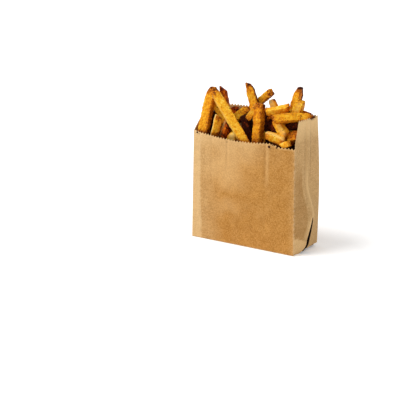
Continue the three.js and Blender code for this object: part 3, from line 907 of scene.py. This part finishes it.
def keepFry(fry):
    if fry["loose"]:
        middle = fry["foot"].lerp(fry["tip"], 0.5)
        half = (fry["tip"] - fry["foot"]).normalized() * fry["length"] / 2
        fry["tip"], fry["foot"] = middle + half, middle - half
    keepInside(fry["foot"], 0.5 * fry["thick"])
    if fry["loose"]:
        keepInside(fry["tip"], 0.5 * fry["thick"] * fry["point"])
        for end in (fry["foot"], fry["tip"]):
            end.z = min(end.z, fillTop(end.x, end.y))


def settle(heaped):
    for _ in range(heap["rounds"]):
        for i, a in enumerate(heaped):
            for b in heaped[i + 1:]:
                shareA, shareB = closestShares(a, b)
                apart = a["foot"].lerp(a["tip"], shareA) - b["foot"].lerp(b["tip"], shareB)
                distance = max(apart.length, heap["leastDistance"])
                girths = a["thick"] * girthAt(shareA, a["point"]) + b["thick"] * girthAt(shareB, b["point"])
                overlap = heap["spacing"] * girths - distance
                if overlap > 0:
                    shift = apart * (overlap / distance)
                    pushFry(a, b, shareA, shift)
                    pushFry(b, a, shareB, -shift)
        for fry in heaped:
            keepFry(fry)


# ---- the fries' shape, with lengths in thicknesses
fryShape = {
    "blank": 8, "edge": 0.15,
    "sideEdges": (0.4, 2),  # lengths between which an edge crosses a side
    "shown": {"rings": 46, "across": 3, "rounding": 3, "seed": 71},
    "below": {"rings": 22, "across": 2, "rounding": 2, "seed": 113},
    "endZone": 1.2,  # this much of each end keeps its rounding
    "stations": (0.08, 0.5, 0.87),  # where the foot ends, the taper starts and the tip starts
    "footGirth": 0.8, "shoulder": 0.75,
    "wide": (0.94, 1.07), "flat": (0.92, 1.05),
    "tipSlope": (0.2, 0.3), "footSlope": (0.5, 0.5), "slopeZone": 0.5,
    "twist": 9,  # degrees
    "wave": 0.35,  # millimetres
    "hollow": 0.07, "lump": 0.07, "blister": 0.05,
    "shadeSide": (0.8, 0.2, -0.55),  # painted shade: browner on this side, which faces away from the light
    "shadeBrown": 0.2, "endBrown": 0.12,
    "topLight": 0.42,  # how much less painted shade there is on faces that look up
    "lipGloom": 0.6,  # painted shade just behind the lip
    "paperGap": 1.1,  # millimetres
}


def fryBlank(name):
    kind, full = fryShape[name], fryShape["blank"]
    bm = bmesh.new()
    bmesh.ops.create_cube(bm, size=1)
    bmesh.ops.scale(bm, verts=bm.verts, vec=(1, 1, full))
    bmesh.ops.translate(bm, verts=bm.verts, vec=(0, 0, full / 2))
    bmesh.ops.bevel(
        bm, geom=list(bm.edges), offset=fryShape["edge"], segments=kind["rounding"], profile=0.5,
        affect="EDGES", material=-1,
    )
    shortest, longest = fryShape["sideEdges"]
    sideways = [e for e in bm.edges if shortest < e.calc_length() < longest]
    bmesh.ops.subdivide_edges(bm, edges=sideways, cuts=kind["across"], use_grid_fill=True)
    lengthwise = [e for e in bm.edges if e.calc_length() > longest]
    bmesh.ops.subdivide_edges(bm, edges=lengthwise, cuts=kind["rings"], use_grid_fill=True)
    mesh = bpy.data.meshes.new(name + "Blank")
    bm.to_mesh(mesh)
    bm.free()
    return mesh


# how thick a fry is at a share of its length, against its middle
def girthAt(share, point):
    footEnd, middle, neck = fryShape["stations"]
    if share < footEnd:
        return between(fryShape["footGirth"], 1, share / footEnd)
    if share < middle:
        return 1
    shoulder = between(point, 1, fryShape["shoulder"])
    if share < neck:
        return between(1, shoulder, (share - middle) / (neck - middle))
    return between(shoulder, point, (share - neck) / (1 - neck))


# how high the paper stands along one side's free edge
def sideTop(y, topFrontY):
    front = halfDepth(rim["sideStart"])
    return between(rim["sideStart"], bag["height"], held((y + front) / (topFrontY + front)))


# below the rim nothing goes through the paper
def keepInPaper(place):
    if place.z > bag["height"]:
        return
    gap = fryShape["paperGap"]
    width = halfWidth(place.z) - gap
    if place.z < sideTop(place.y, rim["leftTopFrontY"]) + 1:
        place.x = max(place.x, -width)
    if place.z < sideTop(place.y, rim["rightTopFrontY"]) + 1:
        place.x = min(place.x, width)
    across = 0.5 + place.x / (2 * halfWidth(place.z))
    depth = halfDepth(place.z) + bellyOut(across, place.z) - gap
    if place.z < lipHeight(place.x) + 3:
        place.y = max(place.y, -depth)
    place.y = min(place.y, depth)


# how browned, edged, reddish and pale a fry's skin is, with painted shade on the side away from the light, on
# its edges there and deep in the heap
def fryMarks(fry, place, outward, corner, end, tipEnd, rims):
    shaded = 0.5 + 0.5 * outward.dot(Vector(fryShape["shadeSide"]).normalized())
    brown = fry["brown"] + fryShape["shadeBrown"] * eased(shaded, 0.72, 0.98)
    odd = 0.0
    if fry["odd"]:
        facing, strength = fry["odd"]
        odd = strength * eased(outward.dot(Vector(facing).normalized()), 0.72, 0.92)
    brown -= min(odd, 0)
    brown = between(brown, max(fry["tipBrown"], brown), tipEnd) + fryShape["endBrown"] * end
    # edges browned, far more on the side with painted shade
    edged = corner * (0.1 + 0.9 * eased(shaded, 0.35, 0.8))
    sunk = fry["gloom"] * (1 - eased(place.z - fillTop(place.x, place.y), -8, 19))
    sunk *= 1 - fryShape["topLight"] * eased(outward.z, 0.4, 0.95)
    behindLip = eased(-place.y, 8, 14) * (1 - eased(place.z - lipHeight(place.x), -0.5, 3))
    return {
        "fried": held(brown), "edged": max(edged, rims, 0.35 * end), "reddish": 0.5 + 0.5 * fry["red"],
        "sunk": max(sunk, fryShape["lipGloom"] * behindLip), "pale": max(odd, 0.0),
    }


# shapes one blank into a fry and marks where it is browned
def layFry(bm, blank, fry, draw, layers):
    shape, thick, along = fryShape, fry["thick"], fry["tip"] - fry["foot"]
    length, zone, full, slant = along.length, shape["endZone"], shape["blank"], shape["slopeZone"]
    side = Vector((along.y, -along.x, 0)).normalized()
    upper = side.cross(along).normalized()
    turn = math.radians(fry["turn"])
    widthLine = side * math.cos(turn) + upper * math.sin(turn)
    heightLine = along.cross(widthLine).normalized()
    along.normalize()
    wide, flat = draw(*shape["wide"]), draw(*shape["flat"])
    (tipU, tipV), (footU, footV) = shape["tipSlope"], shape["footSlope"]
    tipSlope = (fry["slant"] + draw(-tipU, tipU), draw(-tipV, tipV))
    footSlope = (draw(-footU, footU), draw(-footV, footV))
    twist = math.radians(draw(-shape["twist"], shape["twist"]))
    wave, wavePhase, seed = draw(-shape["wave"], shape["wave"]), draw(0, 6), draw(0, 90)
    first = len(bm.verts)
    bm.from_mesh(blank)
    bm.verts.ensure_lookup_table()
    for vert in bm.verts[first:]:
        u, v, w = vert.co
        rims = hump(w - full + 0.1, 0.24) + 0.6 * hump(w - 0.1, 0.3)  # browned, round both cut ends
        if w < zone:
            reach = w * thick
        elif w > full - zone:
            reach = length - (full - w) * thick
        else:
            reach = between(zone * thick, length - zone * thick, (w - zone) / (full - 2 * zone))
        share = reach / length
        corner = eased(min(abs(u), abs(v)), 0.3, 0.45)
        end = max(eased(w, full - 1.3, full), 0.8 * eased(-w, -1.0, 0))
        tipEnd = eased(reach, length - 0.85 * thick, length)
        slope = tipSlope if w > full / 2 else footSlope
        cap = eased(w, full - slant, full) - eased(-w, -slant, 0)
        reach += thick * abs(cap) * (slope[0] * u + slope[1] * v)
        girth = girthAt(held(share), fry["point"]) * thick
        girth *= 1 + shape["lump"] * noise.noise(Vector((share * length / 9, seed, 0)))
        pinch = 1 - shape["hollow"] * (1 - corner) * (1 - end)
        spin = twist * (share - 0.5)
        u, v = u * math.cos(spin) - v * math.sin(spin), u * math.sin(spin) + v * math.cos(spin)
        swing = math.sin(math.pi * held(share))
        sway = wave * math.sin(3.1 * math.pi * share + wavePhase) * swing
        offset = widthLine * (u * wide) + heightLine * (v * flat)
        outward = offset.normalized() if offset.length > 1e-4 else along
        centre = fry["foot"] + along * reach + widthLine * (fry["bow"] * swing) + heightLine * sway
        place = centre + offset * girth * pinch
        rough = noise.noise(place / 2.1 + Vector((seed, 0, 0))) + 0.5 * noise.noise(place / 0.95)
        skin = outward if w < full - 0.3 else (outward + along).normalized()
        place += skin * (shape["blister"] * thick * rough)
        keepInPaper(place)
        vert.co = place * mm
        vert[layers["fryPlace"]] = Vector((u * thick, v * thick, reach)) * mm + Vector((seed, seed, 0)) * 0.1
        for name, value in fryMarks(fry, place, outward, corner, end, tipEnd, rims).items():
            vert[layers[name]] = value


def friesMesh(listed, name):
    blank = fryBlank(name)
    bm = bmesh.new()
    layers = {mark: bm.verts.layers.float.new(mark) for mark in ("fried", "edged", "reddish", "sunk", "pale")}
    layers["fryPlace"] = bm.verts.layers.float_vector.new("fryPlace")
    draw = drawFrom(fryShape[name]["seed"])
    for fry in listed:
        layFry(bm, blank, fry, draw, layers)
    for face in bm.faces:
        face.smooth = True
    bpy.data.meshes.remove(blank)
    return bm


friedLook = {
    "stops": [
        (0.0, (0.94, 0.66, 0.12)), (0.18, (0.92, 0.495, 0.028)), (0.36, (0.82, 0.33, 0.008)),
        (0.54, (0.62, 0.185, 0.005)), (0.72, (0.31, 0.068, 0.003)), (0.88, (0.11, 0.022, 0.003)),
        (1.0, (0.035, 0.007, 0.002)),
    ],
    "olive": (0.82, 1.0, 0.7, 1), "red": (1.0, 0.52, 0.5, 1), "burntAndDeepShade": (0.04, 0.006, 0.002, 1),
    "pepper": (0.06, 0.014, 0.004, 1), "saltAndGlint": (0.98, 0.68, 0.15, 1), "paleFaceAndHighlight": (0.96, 0.73, 0.24, 1),
    "rimWindow": (0.36, 0.6), "paleFaceWindow": (0.3, 0.55),
    "saltAndGlintWindow": (0.58, 0.66), "pepperWindow": (0.7, 0.76),
    "skinDepth": 0.0008,
}


def friedFinish():
    look = friedLook
    finish = Finish("friedPotato", {"Specular IOR Level": 0.06})
    skin = finish.mark("fryPlace", "Vector")
    blotch = finish.grain(skin, 150, 3, 0.6)
    patch = finish.grain(skin, 330, 2, 0.5)
    blister = finish.grain(skin, 800, 3, 0.6)
    crumb = finish.grain(skin, 1500, 2, 0.6)
    streak = finish.drawnOut(skin, (700, 700, 150), 3)
    fried, sunk, reddish = finish.mark("fried"), finish.mark("sunk"), finish.mark("reddish")
    uneven = 0.35 * (blotch - 0.5) + 0.65 * (patch - 0.5) + 0.8 * (blister - 0.5) + 0.25 * (streak - 0.5)
    rimmed = finish.mark("edged") * finish.window(0.6 * patch + 0.4 * blister, *look["rimWindow"])
    # painted shade deep in the heap browns the colour
    colour = finish.ramp(fried + uneven + 0.26 * rimmed + 0.42 * sunk, look["stops"])
    colour = finish.mixed(finish.window(0.5 - reddish, 0.0, 0.5), colour, look["olive"], "MULTIPLY")
    colour = finish.mixed(finish.window(reddish, 0.5, 1.0), colour, look["red"], "MULTIPLY")
    paleFaceAndHighlight = finish.mark("pale") * finish.window(0.5 * patch + 0.5 * blister, *look["paleFaceWindow"])
    colour = finish.mixed(0.8 * paleFaceAndHighlight, colour, look["paleFaceAndHighlight"])
    # pale specks, partly salt and partly painted glints
    saltAndGlintSpots = finish.window(crumb, *look["saltAndGlintWindow"]) * finish.window(1 - fried, 0.3, 0.7)
    colour = finish.mixed(0.4 * saltAndGlintSpots, colour, look["saltAndGlint"])
    pepper = finish.window(finish.grain(skin, 560, 1, 0.4), *look["pepperWindow"])
    colour = finish.mixed(0.7 * pepper, colour, look["pepper"])
    # painted shade: deep in the heap the colour goes near black
    colour = finish.mixed(0.97 * sunk * sunk, colour, look["burntAndDeepShade"])
    normal = finish.bumped(0.7 * blister + 0.45 * crumb + 0.4 * streak, look["skinDepth"])
    return finish.shade(Base_Color=colour, Roughness=0.4 + 0.35 * blister, Normal=normal)


# ---- the closely packed fries under the loose ones, as one lumpy body painted near black as shade
core = {
    "foot": 1.6, "blankTop": 100, "gap": 2, "cuts": 31,
    "sink": 7,  # under the heap's upper limit
    "lump": 1.6, "lumpSize": (9, 5),
    "stops": [(0.3, (0.02, 0.004, 0.002)), (0.7, (0.075, 0.018, 0.005))],
}


def coreFinish():
    finish = Finish("packedFriesPaintedShade", {"Roughness": 0.8, "Specular IOR Level": 0.1})
    lump = finish.grain(finish.objectPlace(), 160, 3)
    colour = finish.ramp(lump, core["stops"])
    return finish.shade(Base_Color=colour, Normal=finish.bumped(lump, 0.003))


def packedCore():
    wide, deep = core["lumpSize"]
    bm = bmesh.new()
    bmesh.ops.create_cube(bm, size=1)
    bmesh.ops.subdivide_edges(bm, edges=list(bm.edges), cuts=core["cuts"], use_grid_fill=True)
    for vert in bm.verts:
        z = between(core["foot"], core["blankTop"], vert.co.z + 0.5)
        x = 2 * vert.co.x * (halfWidth(z) - core["gap"])
        y = 2 * vert.co.y * (halfDepth(z) - core["gap"])
        z = between(core["foot"], fillTop(x, y) - core["sink"], vert.co.z + 0.5)
        if vert.co.z > 0.49:
            z += core["lump"] * noise.noise(Vector((x / wide, y / deep, 3)))
        vert.co = Vector((x, y, z)) * mm
    return bm


# ---- burnt crumbs that stick to the paper just under the lip: place across, height, size
crumbs = [
    (29.3, 94.3, 1.1), (-47.6, 97.4, 0.8), (-45.2, 96.4, 0.4),
    (32.6, 96.4, 0.6), (36.3, 94.2, 0.6), (-14, 93.2, 0.4),
]


def crumbMesh():
    bm = bmesh.new()
    for x, z, size in crumbs:
        place = Vector((x, -halfDepth(z) - frontOut(x, z) - 0.4 * size, z))
        made = bmesh.ops.create_icosphere(bm, subdivisions=2, radius=size * mm)
        for vert in made["verts"]:
            vert.co *= 1 + 0.3 * noise.noise(vert.co * 900 + place)
            vert.co += place * mm
    return bm


def makeFries():
    shown = shownFries()
    fill = fillFries()
    settle(shown + fill)
    print("fries settled:", len(shown), "on show,", len(fill), "below")
    finish = friedFinish()
    burntLook = {"Base Color": friedLook["burntAndDeepShade"], "Roughness": 0.7, "Specular IOR Level": 0.1}
    burnt = Finish("burntCrumb", burntLook)
    made = [
        ("friesOnShow", friesMesh(shown, "shown"), finish),
        ("friesBelow", friesMesh(fill, "below"), finish),
        ("packedFries", packedCore(), coreFinish()),
        ("crumbs", crumbMesh(), burnt.material),
    ]
    for name, bm, material in made:
        makePiece(name, bm, material, "fries")
    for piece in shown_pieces():
        print(piece.name, len(piece.data.polygons), "faces")


setStudio()
makeBag()
makeFries()
